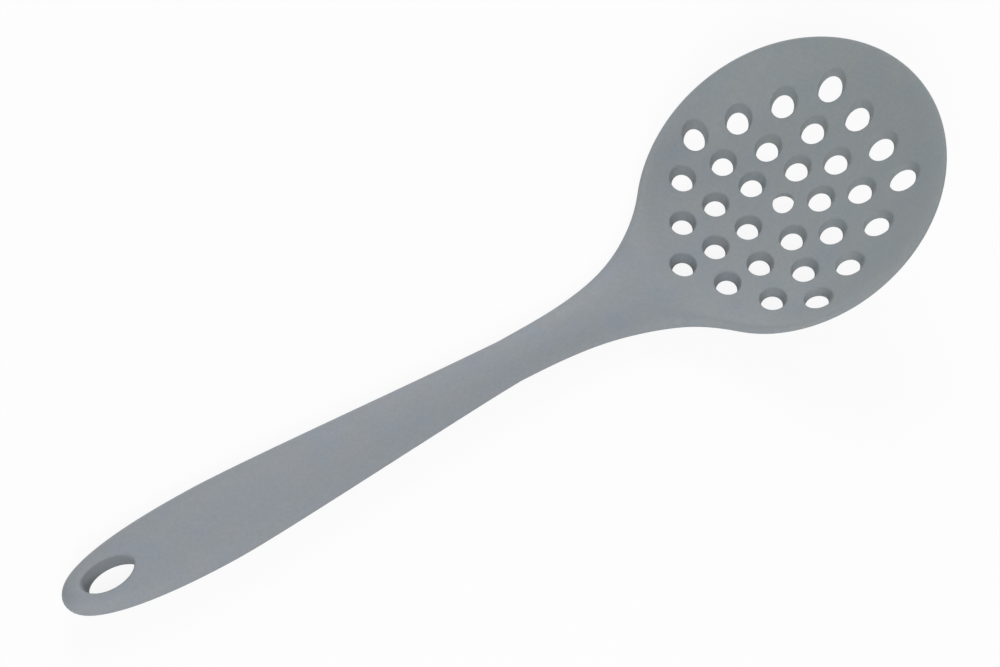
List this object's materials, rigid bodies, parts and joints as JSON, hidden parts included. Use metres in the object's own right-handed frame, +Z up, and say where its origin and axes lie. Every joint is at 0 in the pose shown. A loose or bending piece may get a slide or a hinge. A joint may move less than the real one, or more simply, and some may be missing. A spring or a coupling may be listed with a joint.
{
  "type": "silicone skimmer",
  "caption": "Kitchen skimmer with a dished, perforated oval head on a long tapering handle with a hanging eye, silicone moulded over a stiff core.",
  "frame": {"origin": "middle of the part's length and width, on the table that it lies on", "axes": "+X along the handle towards the lip of the head, +Z up out of the open bowl"},
  "size_m": [0.3272, 0.0988, 0.0483],
  "materials": {
    "silicone": "matte, fine-grained moulded silicone",
    "core_nylon": "matte glass-filled nylon"
  },
  "bodies": {
    "root": {"silicone_body": "silicone", "core": "core_nylon"}
  },
  "joints": []
}
